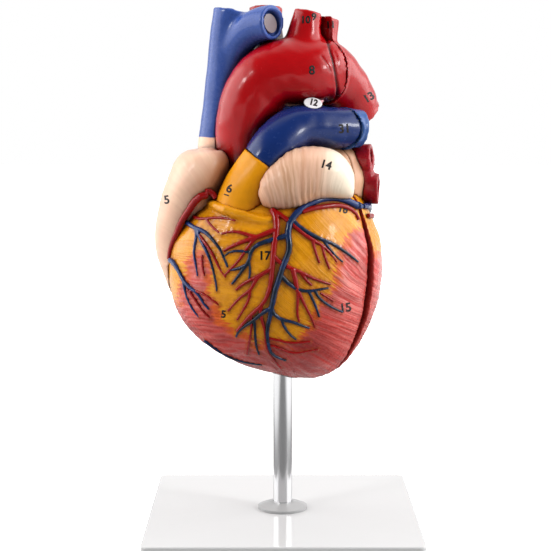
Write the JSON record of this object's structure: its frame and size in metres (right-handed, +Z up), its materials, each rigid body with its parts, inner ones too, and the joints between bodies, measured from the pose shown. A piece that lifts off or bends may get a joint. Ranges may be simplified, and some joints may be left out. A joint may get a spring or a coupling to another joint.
{
  "type": "human heart anatomy model",
  "caption": "Life-size human heart model in two halves that part at a seam to show the chambers, on a steel rod with a flange and a square base.",
  "frame": {"origin": "on the rod's axis, at the level of the table under the feet", "axes": "+X to the viewer's right with the front of the heart facing -Y, +Y to the back, +Z up along the rod"},
  "size_m": [0.14, 0.14, 0.2786],
  "materials": {
    "white_plastic": "glossy moulded white",
    "foot_rubber": "matte black",
    "rod_steel": "polished",
    "screw_steel": "plated",
    "socket_plastic": "moulded black",
    "heart_muscle": "hand painted, glossy",
    "atrium_flesh": "hand painted, glossy",
    "vein_blue": "hand painted, glossy",
    "disc_grey": "plain",
    "aorta_red": "hand painted, glossy",
    "fat_yellow": "hand painted, glossy",
    "pulmonary_blue": "hand painted, glossy",
    "ligament_pink": "hand painted, glossy",
    "artery_red": "hand painted, glossy",
    "vein_teal": "hand painted, glossy",
    "valve_cream": "painted, glossy",
    "lung_vein_red": "hand painted, glossy",
    "magnet_nickel": "nickel plated"
  },
  "bodies": {
    "stand": {"base_plate": "white_plastic", "rubber_feet": "foot_rubber", "collar": "white_plastic"},
    "rod": {"steel_rod": "rod_steel", "rod_screw": "screw_steel", "rod_washer": "screw_steel"},
    "heart_front": {"front_heart_wall": "heart_muscle", "rod_socket": "socket_plastic", "right_atrium": "atrium_flesh", "superior_vena_cava": "vein_blue", "left_brachiocephalic_vein": "vein_blue", "vein_end_disc": "disc_grey", "aortic_arch": "aorta_red", "brachiocephalic_artery": "aorta_red", "left_carotid_artery": "aorta_red", "pulmonary_root": "fat_yellow", "pulmonary_trunk": "pulmonary_blue", "left_auricle": "atrium_flesh", "left_atrium_front": "atrium_flesh", "ligamentum_arteriosum": "ligament_pink", "inferior_vena_cava": "vein_blue", "coronary_arteries": "artery_red", "cardiac_veins": "vein_teal", "tricuspid_valve": "valve_cream", "pulmonary_valve": "valve_cream", "aortic_valve": "valve_cream", "magnets_front": "magnet_nickel"},
    "heart_back": {"back_heart_wall": "heart_muscle", "left_atrium_back": "atrium_flesh", "left_pulmonary_veins": "lung_vein_red", "right_pulmonary_veins": "lung_vein_red", "descending_aorta": "aorta_red", "left_subclavian_artery": "aorta_red", "left_pulmonary_artery": "pulmonary_blue", "right_pulmonary_artery": "pulmonary_blue", "coronary_sinus": "vein_teal", "posterior_arteries": "artery_red", "posterior_veins": "vein_teal", "mitral_valve": "valve_cream", "papillary_muscles": "heart_muscle", "chordae_tendineae": "valve_cream", "magnets_back": "magnet_nickel"}
  },
  "joints": [
    {"name": "rod_turn", "type": "hinge", "parent": "stand", "child": "rod", "pos_m": [0, 0, 0.014], "axis": [0, 0, 1], "continuous": true},
    {"name": "heart_lift", "type": "slide", "parent": "rod", "child": "heart_front", "axis": [0, 0, 1], "range_m": [0, 0.045]},
    {"name": "back_half_pull", "type": "slide", "parent": "heart_front", "child": "heart_back", "axis": [0.5736, 0.8192, 0], "range_m": [0, 0.08]}
  ]
}
